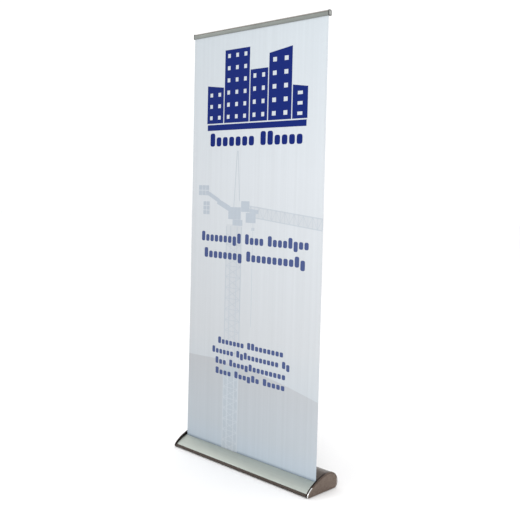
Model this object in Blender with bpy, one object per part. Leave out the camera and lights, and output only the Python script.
"""Roll-up banner stand: a spring-roller base, a clamped top rail and a three-section support pole.

Frame: +X is the banner's right as read from the front, the front faces -Y, +Z is up.
The origin is the middle of the base's footprint at floor level.  Everything is in metres.

The section of the base is drawn in its own plane with y = 0 on the banner, z = 0 at the
underside of the end caps; place() moves that drawing into the frame.
"""
from math import cos, pi, radians, sin

import bmesh
import bpy
from mathutils import Vector

MM = 0.001

# ---- driving dimensions -------------------------------------------------------------
BANNER_WIDTH = 850 * MM
BANNER_THICKNESS = 0.35 * MM
RAIL_BOTTOM_Z = 2046 * MM
RAIL_PARK_Z = 76 * MM

NOSE_REACH = 72.5 * MM          # banner plane to the front of the base
REAR_REACH = 132.5 * MM         # banner plane to the back of the base
CREST_Y = 70 * MM
CREST_Z = 80 * MM
FOOT_LIFT = 1.5 * MM            # how far the rubber feet hold the end caps off the floor

CAP_OUTER_X = 441.5 * MM
CAP_THICKNESS = 11.7 * MM
CAP_EDGE_RADIUS = 4 * MM
CAP_POCKET_WALL = 4.5 * MM
CAP_POCKET_DEPTH = 5.5 * MM
RIM_PROUD = 1.2 * MM            # end cap rim above the housing
COVER_DROP_LOW = 4.2 * MM       # end cap rim above the front cover, at its foot
COVER_DROP_HIGH = 9.5 * MM      # the same, at the banner slot
HOUSING_WALL = 1.8 * MM
COVER_WALL = 1.6 * MM
LIP_TOP_Z = 15 * MM
LEDGE_DEPTH = 7 * MM            # the lip turns in here, and the front cover stands on it
SLOT_HALF = 3 * MM
SLOT_FLANGE = 6 * MM

GAP = 0.3 * MM                  # clearance between pieces that only touch

BRACKET_THICKNESS = 3 * MM
NOTCH_Z = 42 * MM               # the brackets dip to here below the banner slot
NOTCH_HALF_BOTTOM = 8 * MM
NOTCH_HALF_TOP = 12 * MM
BOSS_RADIUS = 5 * MM
SCREW_RADIUS = 1.4 * MM
SCREW_LENGTH = 13 * MM
SCREW_HEAD_RADIUS = 2.5 * MM
SCREW_HEAD_HEIGHT = 1.8 * MM

ROLLER_RADIUS = 16 * MM
ROLLER_WALL = 1.2 * MM
ROLLER_HALF_LENGTH = 423 * MM
ROLLER_Z = 30.5 * MM
WOUND_THICKNESS = 1.0 * MM
PLUG_FLANGE = 2 * MM
PLUG_SPIGOT = 20 * MM
IDLER_PIN_RADIUS = 4 * MM
SHAFT_RADIUS = 5 * MM
SHAFT_INNER_X = 165 * MM
SPRING_RADIUS = 10.5 * MM
SPRING_WIRE = 0.9 * MM
SPRING_TURNS = 22

POLE_Y = 54 * MM                # banner plane to the pole's axis
POLE_RADIUS = 8 * MM
POLE_WALL = 1.2 * MM
SOCKET_RADIUS = 12.5 * MM
SOCKET_CLEARANCE = 0.4 * MM
SOCKET_FLOOR_Z = 38 * MM
SOCKET_FLANGE_RADIUS = 16 * MM
SOCKET_FLANGE_HEIGHT = 2.5 * MM
FOOT_PLUG_HEIGHT = 4 * MM
FERRULE_RADIUS = 6.5 * MM
FERRULE_WALL = 1.8 * MM
FERRULE_DEPTH = 40 * MM
FERRULE_REACH = 50 * MM

RAIL_HEIGHT = 24 * MM
RAIL_FRONT_Y = -5 * MM
RAIL_BACK_Y = 14 * MM
RAIL_END_THICKNESS = 3.8 * MM
RAIL_END_PROUD = 0.8 * MM
JAW_PIVOT_Y = -2.9 * MM
JAW_PIVOT_Z = 16 * MM
JAW_BEAD_RADIUS = 2.1 * MM
JAW_CLEARANCE = 0.4 * MM
CLAMP_HALF_GAP = 0.5 * MM
CRADLE_CHANNEL_HALF = 6 * MM
CRADLE_DEPTH = 8 * MM
CRADLE_PLATE = 2 * MM
CRADLE_RIB = 3.5 * MM
TONGUE_HALF = 5.5 * MM

FOOT_RADIUS = 10 * MM
FOOT_X = 385 * MM
FOOT_FRONT_Y = -45 * MM
FOOT_REAR_Y = 98 * MM

# ---- derived ------------------------------------------------------------------------
SLOT_Y = (NOSE_REACH - REAR_REACH) / 2
CAP_INNER_X = CAP_OUTER_X - CAP_THICKNESS
HOUSING_HALF = CAP_INNER_X - GAP
BRACKET_OUTER_X = HOUSING_HALF - 0.2 * MM
BRACKET_INNER_X = BRACKET_OUTER_X - BRACKET_THICKNESS
HALF_BANNER = BANNER_WIDTH / 2
ROLLER_Y = ROLLER_RADIUS + GAP + WOUND_THICKNESS + GAP + BANNER_THICKNESS / 2
ROLLER_BORE = ROLLER_RADIUS - ROLLER_WALL
RAIL_HALF = HALF_BANNER + GAP
POLE_BORE = POLE_RADIUS - POLE_WALL
LEDGE_END_Y = -NOSE_REACH + RIM_PROUD + LEDGE_DEPTH

# The four curved runs of the end cap's outline, as Bezier handles (y, z).
FRONT_CURVE = ((-NOSE_REACH, 7 * MM), (-NOSE_REACH, 32 * MM), (20 * MM, CREST_Z), (CREST_Y, CREST_Z))
REAR_CURVE = ((CREST_Y, CREST_Z), (104.5 * MM, CREST_Z), (REAR_REACH, 56 * MM), (REAR_REACH, 26 * MM))
HEEL_CURVE = ((REAR_REACH, 26 * MM), (REAR_REACH, 11.6 * MM), (124 * MM, 0), (114 * MM, 0))
TOE_CURVE = ((-66 * MM, 0), (-69.6 * MM, 0), (-NOSE_REACH, 3.2 * MM), (-NOSE_REACH, 7 * MM))

MATERIALS = {
    "chromed_abs": ((0.42, 0.38, 0.35, 1), 1.0, 0.18),
    "polished_aluminium": ((0.55, 0.52, 0.50, 1), 1.0, 0.22),
    "satin_aluminium": ((0.62, 0.65, 0.60, 1), 1.0, 0.40),
    "rail_aluminium": ((0.55, 0.55, 0.53, 1), 1.0, 0.35),
    "zinc_plated_steel": ((0.60, 0.60, 0.58, 1), 1.0, 0.35),
    "spring_steel": ((0.30, 0.30, 0.31, 1), 1.0, 0.40),
    "black_plastic": ((0.03, 0.03, 0.03, 1), 0.0, 0.45),
    "grey_plastic": ((0.28, 0.28, 0.29, 1), 0.0, 0.50),
    "rubber": ((0.02, 0.02, 0.02, 1), 0.0, 0.80),
    "printed_banner": ((0.80, 0.83, 0.86, 1), 0.0, 0.60),
    "leader_film": ((0.70, 0.72, 0.74, 1), 0.0, 0.55),
}


# ---- curves -------------------------------------------------------------------------
def bezier_point(curve, t, inset=0.0):
    """Point at t on a clockwise curve, moved inwards by inset."""
    a, b, c, d = (Vector(p) for p in curve)
    s = 1 - t
    point = a * s ** 3 + b * 3 * s * s * t + c * 3 * s * t * t + d * t ** 3
    along = (b - a) * s * s + (c - b) * 2 * s * t + (d - c) * t * t
    along.normalize()
    return (point.x + along.y * inset, point.y - along.x * inset)


def spread(start, end, count):
    """count values from start to end, both included."""
    return [start + (end - start) * i / (count - 1) for i in range(count)]


def front_parameter(coordinate, target, inset):
    """Parameter at which the inset front curve reaches target in y (0) or z (1)."""
    low, high = 0.0, 1.0
    for _ in range(40):
        middle = (low + high) / 2
        if bezier_point(FRONT_CURVE, middle, inset)[coordinate] < target:
            low = middle
        else:
            high = middle
    return (low + high) / 2


LIP_T = front_parameter(1, LIP_TOP_Z, 0)
COVER_T = front_parameter(0, -SLOT_HALF, COVER_DROP_HIGH)
SHELL_T = front_parameter(0, SLOT_HALF, RIM_PROUD)


def cover_drop(t):
    """How far the front cover lies inside the end cap's outline at parameter t."""
    share = (t - LIP_T) / (COVER_T - LIP_T)
    return COVER_DROP_LOW + (COVER_DROP_HIGH - COVER_DROP_LOW) * share


def cap_outline(inset):
    """The end cap's whole outline, clockwise from the nose."""
    points = [bezier_point(FRONT_CURVE, t, inset) for t in spread(0, 1, 26)]
    points += [bezier_point(REAR_CURVE, t, inset) for t in spread(0, 1, 15)[1:]]
    points += [bezier_point(HEEL_CURVE, t, inset) for t in spread(0, 1, 9)[1:]]
    points += [bezier_point(TOE_CURVE, t, inset) for t in spread(0, 1, 6)[:-1]]
    return points


def shell_line(inset):
    """Housing from the slot's rear edge, over the back and underneath, to the end of the lip's ledge."""
    start = front_parameter(0, SLOT_HALF + inset - RIM_PROUD, inset)
    points = [bezier_point(FRONT_CURVE, t, inset) for t in spread(start, 1, 12)]
    points += [bezier_point(REAR_CURVE, t, inset) for t in spread(0, 1, 15)[1:]]
    points += [bezier_point(HEEL_CURVE, t, inset) for t in spread(0, 1, 9)[1:]]
    points += [bezier_point(TOE_CURVE, t, inset) for t in spread(0, 1, 6)]
    ledge_z = LIP_TOP_Z - (inset - RIM_PROUD)
    top = front_parameter(1, ledge_z, inset)
    points += [bezier_point(FRONT_CURVE, t, inset) for t in spread(0, top, 4)[1:]]
    points += [(LEDGE_END_Y, ledge_z)]
    return points


def cover_line(extra):
    """Front cover from its foot up to the slot's front edge."""
    foot = front_parameter(1, LIP_TOP_Z + GAP, COVER_DROP_LOW + extra)
    end = front_parameter(0, -SLOT_HALF - extra, COVER_DROP_HIGH + extra)
    return [bezier_point(FRONT_CURVE, t, cover_drop(t) + extra) for t in spread(foot, end, 14)]


def place(y, z):
    """Section coordinates to frame coordinates."""
    return y + SLOT_Y, z + FOOT_LIFT


# ---- meshes -------------------------------------------------------------------------
def material(name):
    """The named Principled material, made once."""
    found = bpy.data.materials.get(name)
    if found:
        return found
    colour, metallic, roughness = MATERIALS[name]
    made = bpy.data.materials.new(name)
    made.use_nodes = True
    shader = made.node_tree.nodes["Principled BSDF"]
    shader.inputs["Base Color"].default_value = colour
    shader.inputs["Metallic"].default_value = metallic
    shader.inputs["Roughness"].default_value = roughness
    return made


def finish(name, bm, material_name, smooth=False, origin=(0, 0, 0)):
    """Turn a bmesh into a named object whose origin is at origin."""
    bmesh.ops.remove_doubles(bm, verts=bm.verts, dist=1e-7)
    bmesh.ops.recalc_face_normals(bm, faces=bm.faces)
    bmesh.ops.translate(bm, verts=bm.verts, vec=-Vector(origin))
    for face in bm.faces:
        face.smooth = smooth and len(face.verts) <= 4
    mesh = bpy.data.meshes.new(name)
    bm.to_mesh(mesh)
    bm.free()
    made = bpy.data.objects.new(name, mesh)
    made.location = origin
    bpy.context.scene.collection.objects.link(made)
    mesh.materials.append(material(material_name))
    return made


def loft(name, loops, material_name, smooth=False, closed_caps=True, origin=(0, 0, 0)):
    """Skin between loops of equal length; the first and last are filled, or joined to each other."""
    bm = bmesh.new()
    rings = [[bm.verts.new(p) for p in loop] for loop in loops]
    pairs = list(zip(rings, rings[1:]))
    if not closed_caps:
        pairs.append((rings[-1], rings[0]))
    for near, far in pairs:
        for i in range(len(near)):
            j = (i + 1) % len(near)
            bm.faces.new((near[i], near[j], far[j], far[i]))
    if closed_caps:
        ends = [bm.faces.new(rings[0]), bm.faces.new(rings[-1])]
        for end in ends:
            end.normal_update()
        bmesh.ops.triangulate(bm, faces=ends, ngon_method="EAR_CLIP")
    made = finish(name, bm, material_name, smooth, origin)
    if smooth and closed_caps:
        flatten_ends(made)
    return made


def flatten_ends(made):
    """Faces that are much flatter than their neighbours keep a sharp edge."""
    made.data.set_sharp_from_angle(angle=radians(35))


def section_loop(points, x):
    """A section drawn in (y, z) as a loop of 3-D points at x."""
    return [(x,) + place(y, z) for y, z in points]


def prism_x(name, points, x0, x1, material_name, smooth=False, origin=(0, 0, 0)):
    """Closed section extruded along X."""
    loops = [section_loop(points, x0), section_loop(points, x1)]
    return loft(name, loops, material_name, smooth, origin=origin)


def strip_x(name, outer, inner, x0, x1, material_name):
    """A bent sheet: two lines of equal length, extruded along X, with clean quads at its ends."""
    bm = bmesh.new()
    grid = []
    for x in (x0, x1):
        grid.append([[bm.verts.new((x,) + place(y, z)) for y, z in line] for line in (outer, inner)])
    (a_out, a_in), (b_out, b_in) = grid
    last = len(outer) - 1
    for i in range(last):
        bm.faces.new((a_out[i], a_out[i + 1], b_out[i + 1], b_out[i]))
        bm.faces.new((a_in[i + 1], a_in[i], b_in[i], b_in[i + 1]))
        bm.faces.new((a_out[i + 1], a_out[i], a_in[i], a_in[i + 1]))
        bm.faces.new((b_out[i], b_out[i + 1], b_in[i + 1], b_in[i]))
    bm.faces.new((a_out[0], b_out[0], b_in[0], a_in[0]))
    bm.faces.new((b_out[last], a_out[last], a_in[last], b_in[last]))
    made = finish(name, bm, material_name, smooth=True)
    flatten_ends(made)
    return made


def ring_point(axis, centre, radius, angle, along):
    """A point on a circle about an axis along X or Z."""
    across, up = radius * cos(angle), radius * sin(angle)
    if axis == "X":
        return (along, centre[0] + across, centre[1] + up)
    return (centre[0] + across, centre[1] + up, along)


def turned(name, axis, centre, steps, segments, material_name, origin=(0, 0, 0)):
    """A solid of revolution from (radius, position) steps; it closes on the axis or on itself."""
    loops = []
    for radius, along in steps:
        loops.append([ring_point(axis, centre, radius, 2 * pi * i / segments, along)
                      for i in range(segments)])
    return loft(name, loops, material_name, smooth=True, origin=origin)


def pipe(name, axis, centre, outer, inner, start, end, segments, material_name, origin=(0, 0, 0)):
    """A tube with square ends."""
    steps = ((outer, start), (outer, end), (inner, end), (inner, start))
    loops = []
    for radius, along in steps:
        loops.append([ring_point(axis, centre, radius, 2 * pi * i / segments, along)
                      for i in range(segments)])
    made = loft(name, loops, material_name, smooth=True, closed_caps=False, origin=origin)
    flatten_ends(made)
    return made


def block(name, low, high, material_name, origin=(0, 0, 0)):
    """A box between two corners."""
    corners = ((low[0], low[1]), (high[0], low[1]), (high[0], high[1]), (low[0], high[1]))
    loops = [[(x, y, z) for x, y in corners] for z in (low[2], high[2])]
    return loft(name, loops, material_name, origin=origin)


def cut(target, cutter, operation="DIFFERENCE"):
    """Exact Boolean with a hidden cutter."""
    modifier = target.modifiers.new(cutter.name, "BOOLEAN")
    modifier.operation = operation
    modifier.solver = "EXACT"
    modifier.object = cutter
    cutter.hide_render = True
    cutter.display_type = "WIRE"


def boss_centres():
    """Where the housing carries screw bosses, as section points."""
    reach = RIM_PROUD + HOUSING_WALL + BOSS_RADIUS - 0.6 * MM
    return [(-42 * MM, reach), (92 * MM, reach), bezier_point(REAR_CURVE, 0.28, reach)]


# ---- base ---------------------------------------------------------------------------
def build_housing():
    """Extruded shell with a lip in front, screw bosses along it and a hole for the pole socket."""
    outer = shell_line(RIM_PROUD)
    inner = shell_line(RIM_PROUD + HOUSING_WALL)
    flange_z = outer[0][1] - SLOT_FLANGE
    outer.insert(0, (outer[0][0], flange_z))
    inner.insert(0, (inner[0][0], flange_z))
    housing = strip_x("base_housing", outer, inner, -HOUSING_HALF, HOUSING_HALF, "polished_aluminium")
    boss_end = BRACKET_INNER_X - GAP
    for number, (y, z) in enumerate(boss_centres(), 1):
        centre = place(y, z)
        boss = turned(f"boss_form_{number}", "X", centre,
                      ((BOSS_RADIUS, -boss_end), (BOSS_RADIUS, boss_end)), 16, "polished_aluminium")
        cut(housing, boss, "UNION")
    for number, (y, z) in enumerate(boss_centres(), 1):
        for side, label in ((-1, "left"), (1, "right")):
            start, end = sorted((side * (boss_end - SCREW_LENGTH - 1 * MM), side * (boss_end + 1 * MM)))
            hole = turned(f"boss_hole_{label}_{number}", "X", place(y, z),
                          ((SCREW_RADIUS + GAP, start), (SCREW_RADIUS + GAP, end)), 12,
                          "polished_aluminium")
            cut(housing, hole)
    top = FOOT_LIFT + CREST_Z
    hole = turned("socket_hole", "Z", (0, SLOT_Y + POLE_Y),
                  ((SOCKET_RADIUS + GAP, top - 24 * MM), (SOCKET_RADIUS + GAP, top + 10 * MM)), 40,
                  "polished_aluminium")
    cut(housing, hole)


def build_front_cover():
    """Satin panel that slopes from the slot down to the lip."""
    outer = cover_line(0)
    inner = cover_line(COVER_WALL)
    flange_z = outer[-1][1] - SLOT_FLANGE
    outer.append((outer[-1][0], flange_z))
    inner.append((inner[-1][0], flange_z))
    strip_x("front_cover", outer, inner, -HOUSING_HALF, HOUSING_HALF, "satin_aluminium")


def build_end_cap(side, label):
    """Moulded cap: flat inner face with a shallow pocket, rounded outer edge."""
    loops = [section_loop(cap_outline(CAP_POCKET_WALL), side * (CAP_INNER_X + CAP_POCKET_DEPTH)),
             section_loop(cap_outline(CAP_POCKET_WALL), side * CAP_INNER_X),
             section_loop(cap_outline(0), side * CAP_INNER_X)]
    for step in range(5):
        angle = radians(90) * step / 4
        x = CAP_OUTER_X - CAP_EDGE_RADIUS * (1 - sin(angle))
        inset = CAP_EDGE_RADIUS * (1 - cos(angle))
        loops.append(section_loop(cap_outline(inset), side * x))
    loft(f"end_cap_{label}", loops, "chromed_abs", smooth=True)


def bracket_outline():
    """Plate that fills the housing's section, notched clear of the lip's ledge and the slot's flanges."""
    clear = GAP + 0.2 * MM
    beside_ledge = LEDGE_END_Y + 2 * MM
    under_ledge = LIP_TOP_Z - HOUSING_WALL - clear
    shell = shell_line(RIM_PROUD + HOUSING_WALL + clear)[:-1]
    shell = [p for p in shell if p[0] > NOTCH_HALF_TOP or p[1] < under_ledge]
    cover = [p for p in cover_line(COVER_WALL + clear) if beside_ledge < p[0] < -NOTCH_HALF_TOP]
    notch = [(-NOTCH_HALF_BOTTOM, NOTCH_Z), (NOTCH_HALF_BOTTOM, NOTCH_Z)]
    return shell + [(beside_ledge, under_ledge)] + cover + notch


def build_bracket(side, label):
    """End plate that carries the roller, fastened to the housing's bosses."""
    x0, x1 = sorted((side * BRACKET_INNER_X, side * BRACKET_OUTER_X))
    plate = prism_x(f"roller_bracket_{label}", bracket_outline(), x0, x1, "zinc_plated_steel")
    bore = IDLER_PIN_RADIUS if side < 0 else SHAFT_RADIUS
    holes = [(ROLLER_Y, ROLLER_Z, bore + GAP)]
    holes += [(y, z, SCREW_RADIUS + GAP) for y, z in boss_centres()]
    for number, (y, z, radius) in enumerate(holes):
        hole = turned(f"bracket_hole_{label}_{number}", "X", place(y, z),
                      ((radius, x0 - 1 * MM), (radius, x1 + 1 * MM)), 24, "zinc_plated_steel")
        cut(plate, hole)
    for number, (y, z) in enumerate(boss_centres(), 1):
        head = BRACKET_OUTER_X + GAP
        steps = ((SCREW_RADIUS, BRACKET_INNER_X - SCREW_LENGTH + 2 * MM), (SCREW_RADIUS, head),
                 (SCREW_HEAD_RADIUS, head), (SCREW_HEAD_RADIUS, head + SCREW_HEAD_HEIGHT * 0.6),
                 (SCREW_HEAD_RADIUS * 0.6, head + SCREW_HEAD_HEIGHT))
        turned(f"bracket_screw_{label}_{number}", "X", place(y, z),
               [(radius, side * along) for radius, along in steps], 12, "zinc_plated_steel")


def build_feet():
    """Four rubber pads under the housing."""
    top = FOOT_LIFT + RIM_PROUD - GAP
    for side, label in ((-1, "left"), (1, "right")):
        for y, row in ((FOOT_FRONT_Y, "front"), (FOOT_REAR_Y, "rear")):
            turned(f"foot_{row}_{label}", "Z", (side * FOOT_X, y + SLOT_Y),
                   ((FOOT_RADIUS, 0), (FOOT_RADIUS, top)), 24, "rubber")


def build_socket():
    """Cup let into the top of the housing; the pole stands in it."""
    bore = POLE_RADIUS + SOCKET_CLEARANCE
    floor = SOCKET_FLOOR_Z + FOOT_LIFT
    seat = FOOT_LIFT + CREST_Z - RIM_PROUD + GAP
    top = seat + SOCKET_FLANGE_HEIGHT
    steps = ((bore, floor), (bore, top - 1 * MM), (bore + 1 * MM, top),
             (SOCKET_FLANGE_RADIUS - 0.8 * MM, top), (SOCKET_FLANGE_RADIUS, top - 0.8 * MM),
             (SOCKET_FLANGE_RADIUS, seat), (SOCKET_RADIUS, seat), (SOCKET_RADIUS, floor - 3 * MM))
    turned("pole_socket", "Z", (0, SLOT_Y + POLE_Y), steps, 40, "black_plastic")


# ---- roller -------------------------------------------------------------------------
def build_roller():
    """Tube with an end plug at each side and the leader wound round it."""
    centre = place(ROLLER_Y, ROLLER_Z)
    axis = (0,) + centre
    pipe("roller_tube", "X", centre, ROLLER_RADIUS, ROLLER_BORE, -ROLLER_HALF_LENGTH,
         ROLLER_HALF_LENGTH, 40, "zinc_plated_steel", origin=axis)
    wound = ROLLER_RADIUS + GAP
    pipe("leader_roll", "X", centre, wound + WOUND_THICKNESS, wound, -HALF_BANNER, HALF_BANNER, 48,
         "leader_film", origin=axis)
    for side, name, bore in ((-1, "idler_plug", IDLER_PIN_RADIUS), (1, "drive_plug", SHAFT_RADIUS)):
        face = ROLLER_HALF_LENGTH + GAP
        steps = ((bore + GAP, face - PLUG_SPIGOT), (bore + GAP, face + PLUG_FLANGE),
                 (ROLLER_RADIUS, face + PLUG_FLANGE), (ROLLER_RADIUS, face),
                 (ROLLER_BORE - GAP, face), (ROLLER_BORE - GAP, face - PLUG_SPIGOT))
        loops = [[ring_point("X", centre, radius, 2 * pi * i / 32, side * along) for i in range(32)]
                 for radius, along in steps]
        made = loft(name, loops, "grey_plastic", smooth=True, closed_caps=False, origin=axis)
        flatten_ends(made)


def build_axles():
    """The idler's pin on the left; the fixed spring shaft and its anchor on the right."""
    centre = place(ROLLER_Y, ROLLER_Z)
    head = BRACKET_OUTER_X + GAP
    pin = ((IDLER_PIN_RADIUS, ROLLER_HALF_LENGTH - PLUG_SPIGOT + 2 * MM), (IDLER_PIN_RADIUS, head),
           (IDLER_PIN_RADIUS * 1.6, head), (IDLER_PIN_RADIUS * 1.6, head + 2 * MM))
    turned("idler_pin", "X", centre, [(r, -x) for r, x in pin], 24, "zinc_plated_steel")
    shaft = ((SHAFT_RADIUS, SHAFT_INNER_X), (SHAFT_RADIUS, head + 2 * MM))
    turned("spring_shaft", "X", centre, shaft, 6, "zinc_plated_steel")
    pipe("spring_anchor", "X", centre, ROLLER_BORE - 2 * GAP, SHAFT_RADIUS + GAP, SHAFT_INNER_X + 3 * MM,
         SHAFT_INNER_X + 17 * MM, 28, "grey_plastic")


def build_spring():
    """Torsion spring between the anchor on the shaft and the drive plug."""
    centre = place(ROLLER_Y, ROLLER_Z)
    start = SHAFT_INNER_X + 17 * MM + 2 * SPRING_WIRE
    end = ROLLER_HALF_LENGTH - PLUG_SPIGOT - 2 * SPRING_WIRE
    per_turn, around = 14, 6
    loops = []
    for step in range(SPRING_TURNS * per_turn + 1):
        angle = 2 * pi * step / per_turn
        along = start + (end - start) * step / (SPRING_TURNS * per_turn)
        loop = []
        for i in range(around):
            turn = 2 * pi * i / around
            radius = SPRING_RADIUS + SPRING_WIRE * cos(turn)
            loop.append(ring_point("X", centre, radius, angle, along + SPRING_WIRE * sin(turn)))
        loops.append(loop)
    loft("torsion_spring", loops, "spring_steel", smooth=True, origin=(0,) + centre)


# ---- banner and top rail --------------------------------------------------------------
def build_banner():
    """The printed sheet, from the roller up into the clamp."""
    half = BANNER_THICKNESS / 2
    bottom = ROLLER_Z + FOOT_LIFT
    top = RAIL_BOTTOM_Z + 12 * MM
    block("banner_sheet", (-HALF_BANNER, SLOT_Y - half, bottom), (HALF_BANNER, SLOT_Y + half, top),
          "printed_banner")


def rail_point(y, z):
    """Rail section coordinates (z from the rail's underside) to section coordinates."""
    return y, z + RAIL_BOTTOM_Z - FOOT_LIFT


def arc(centre, radius, start, end, count):
    """Points on an arc, angles in degrees."""
    return [(centre[0] + radius * cos(radians(a)), centre[1] + radius * sin(radians(a)))
            for a in spread(start, end, count)]


def build_rail_back():
    """Hollow rear profile; its front edge curls over the jaw's bead."""
    pivot = (JAW_PIVOT_Y, JAW_PIVOT_Z)
    bottom = 4 * MM
    crown = 7 * MM
    points = [(CLAMP_HALF_GAP, 0.4 * MM), (CLAMP_HALF_GAP, 13 * MM)]
    points += arc(pivot, JAW_BEAD_RADIUS + JAW_CLEARANCE, -35, 122, 11)
    points += [(RAIL_FRONT_Y, 18.8 * MM)]
    points += arc((RAIL_FRONT_Y + crown * 0.8, RAIL_HEIGHT - crown * 0.6), crown * 0.6, 165, 90, 5)
    points += arc((RAIL_BACK_Y - crown, RAIL_HEIGHT - crown), crown, 90, 0, 8)
    points += arc((RAIL_BACK_Y - bottom, bottom), bottom, 0, -90, 6)
    rail = prism_x("rail_back", [rail_point(*p) for p in points], -RAIL_HALF, RAIL_HALF,
                   "rail_aluminium", smooth=True)
    wall = 2 * MM
    low = rail_point(CLAMP_HALF_GAP + wall, wall + 0.4 * MM)
    high = rail_point(RAIL_BACK_Y - wall - 1.6 * MM, RAIL_HEIGHT - wall - 1.8 * MM)
    core = prism_x("rail_core", (low, (low[0], high[1]), high, (high[0], low[1])),
                   -RAIL_HALF - 5 * MM, RAIL_HALF + 5 * MM, "rail_aluminium")
    cut(rail, core)


def build_rail_jaw():
    """Snap-in front jaw, turning on the bead along its top edge."""
    pivot = (JAW_PIVOT_Y, JAW_PIVOT_Z)
    inner = RAIL_FRONT_Y + 2.1 * MM
    points = [(RAIL_FRONT_Y + 1.8 * MM, 0), (RAIL_FRONT_Y + 0.5 * MM, 1.3 * MM),
              (RAIL_FRONT_Y, 3.6 * MM)]
    points += arc(pivot, JAW_BEAD_RADIUS, 180, -35, 13)
    points += [(inner, 13 * MM), (inner, 4.6 * MM), (-CLAMP_HALF_GAP, 3.6 * MM),
               (-CLAMP_HALF_GAP, 0.6 * MM), (-CLAMP_HALF_GAP - 0.6 * MM, 0)]
    y, z = place(*rail_point(*pivot))
    prism_x("rail_front_jaw", [rail_point(*p) for p in points], -RAIL_HALF, RAIL_HALF,
            "rail_aluminium", smooth=True, origin=(0, y, z))


def rail_end_outline(inset):
    """Rounded outline, a little larger than the rail."""
    grow = RAIL_END_PROUD - inset
    front, back = RAIL_FRONT_Y - grow, RAIL_BACK_Y + grow
    low, high = -grow, RAIL_HEIGHT + grow
    points = arc((front + 5 * MM, high - 5 * MM), 5 * MM, 180, 90, 6)
    points += arc((back - 7 * MM, high - 7 * MM), 7 * MM, 90, 0, 7)
    points += arc((back - 4.5 * MM, low + 4.5 * MM), 4.5 * MM, 0, -90, 6)
    points += arc((front + 3.5 * MM, low + 3.5 * MM), 3.5 * MM, -90, -180, 5)
    return [rail_point(*p) for p in points]


def build_rail_end(side, label):
    """Plastic end of the rail with a rounded outer edge."""
    inner = RAIL_HALF + GAP
    steps = ((0, 0), (0, RAIL_END_THICKNESS - 1 * MM), (0.3 * MM, RAIL_END_THICKNESS - 0.3 * MM),
             (1 * MM, RAIL_END_THICKNESS))
    loops = [section_loop(rail_end_outline(inset), side * (inner + x)) for inset, x in steps]
    loft(f"rail_end_{label}", loops, "grey_plastic", smooth=True)


def build_cradle():
    """Channel behind the rail that the pole's hook stands in."""
    plate = SLOT_Y + RAIL_BACK_Y + GAP
    low, high = RAIL_BOTTOM_Z + 4 * MM, RAIL_BOTTOM_Z + 20 * MM
    rib = CRADLE_CHANNEL_HALF + CRADLE_RIB
    wing = rib + 4 * MM
    cradle = block("hook_cradle", (-wing, plate, low), (wing, plate + CRADLE_PLATE, high), "grey_plastic")
    for side, label in ((-1, "left"), (1, "right")):
        x0, x1 = sorted((side * CRADLE_CHANNEL_HALF, side * rib))
        form = block(f"cradle_rib_{label}", (x0, plate + 0.6 * MM, low + 0.8 * MM),
                     (x1, plate + CRADLE_DEPTH, high - 0.8 * MM), "grey_plastic")
        cut(cradle, form, "UNION")


# ---- pole ---------------------------------------------------------------------------
def pole_levels():
    """Bottom of each tube and the top of the last one."""
    start = SOCKET_FLOOR_Z + FOOT_LIFT + GAP + FOOT_PLUG_HEIGHT + GAP
    top = RAIL_BOTTOM_Z - 4 * MM
    length = (top - start - 2 * GAP) / 3
    return [start + i * (length + GAP) for i in range(3)], length


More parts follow.
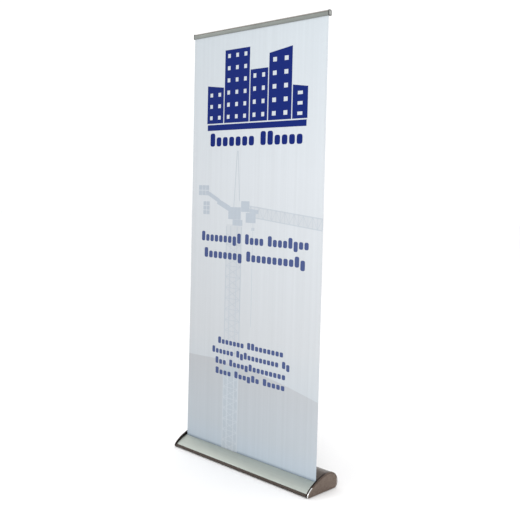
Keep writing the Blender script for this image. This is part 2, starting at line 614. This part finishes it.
def build_pole():
    """Three tubes joined by ferrules, with a plug at the foot."""
    bottoms, length = pole_levels()
    centre = (0, SLOT_Y + POLE_Y)
    for bottom, name in zip(bottoms, ("pole_lower", "pole_middle", "pole_upper")):
        pipe(name, "Z", centre, POLE_RADIUS, POLE_BORE, bottom, bottom + length, 28, "satin_aluminium",
             origin=centre + (bottom,))
    bore = FERRULE_RADIUS - FERRULE_WALL
    for bottom, name in zip(bottoms[1:], ("ferrule_lower", "ferrule_upper")):
        joint = bottom - GAP / 2
        pipe(name, "Z", centre, FERRULE_RADIUS, bore, joint - FERRULE_DEPTH, joint + FERRULE_REACH, 24,
             "zinc_plated_steel")
    foot = bottoms[0] - GAP
    spigot = foot + 16 * MM
    steps = ((POLE_RADIUS - 1 * MM, foot - FOOT_PLUG_HEIGHT), (POLE_RADIUS, foot - FOOT_PLUG_HEIGHT + 1 * MM),
             (POLE_RADIUS, foot), (POLE_BORE - GAP, foot), (POLE_BORE - GAP, spigot))
    turned("pole_foot", "Z", centre, steps, 24, "black_plastic")


def build_hook():
    """Head of the pole: a plug in the tube, a collar and an arm whose tongue stands in the cradle."""
    bottoms, length = pole_levels()
    y = SLOT_Y + POLE_Y
    tube_top = bottoms[2] + length
    collar = tube_top + GAP
    top = RAIL_BOTTOM_Z + 18 * MM
    front = RAIL_BACK_Y + GAP + CRADLE_PLATE + 0.5 * MM
    steps = ((POLE_BORE - GAP, tube_top - 25 * MM), (POLE_BORE - GAP, collar), (POLE_RADIUS + 1 * MM, collar),
             (POLE_RADIUS + 1 * MM, top - 2 * MM), (POLE_RADIUS - 1 * MM, top))
    hook = turned("pole_hook", "Z", (0, y), steps, 28, "black_plastic")
    tip = front + 4.5 * MM
    root = POLE_Y - 4 * MM
    arm = ((front, 5 * MM), (front, 17 * MM), (root, 15 * MM), (root, 2 * MM))
    tongue = ((front, 1 * MM), (front, 10 * MM), (tip, 10 * MM), (tip, 1 * MM))
    for name, outline in (("hook_arm_form", arm), ("hook_tongue_form", tongue)):
        form = prism_x(name, [rail_point(*p) for p in outline], -TONGUE_HALF, TONGUE_HALF,
                       "black_plastic")
        cut(hook, form, "UNION")


def clear_scene():
    """Start from nothing."""
    for found in list(bpy.data.objects):
        bpy.data.objects.remove(found, do_unlink=True)


def build():
    """Make every piece of the stand."""
    clear_scene()
    build_housing()
    build_front_cover()
    for side, label in ((-1, "left"), (1, "right")):
        build_end_cap(side, label)
        build_bracket(side, label)
        build_rail_end(side, label)
    build_feet()
    build_socket()
    build_roller()
    build_axles()
    build_spring()
    build_banner()
    build_rail_back()
    build_rail_jaw()
    build_cradle()
    build_pole()
    build_hook()


build()
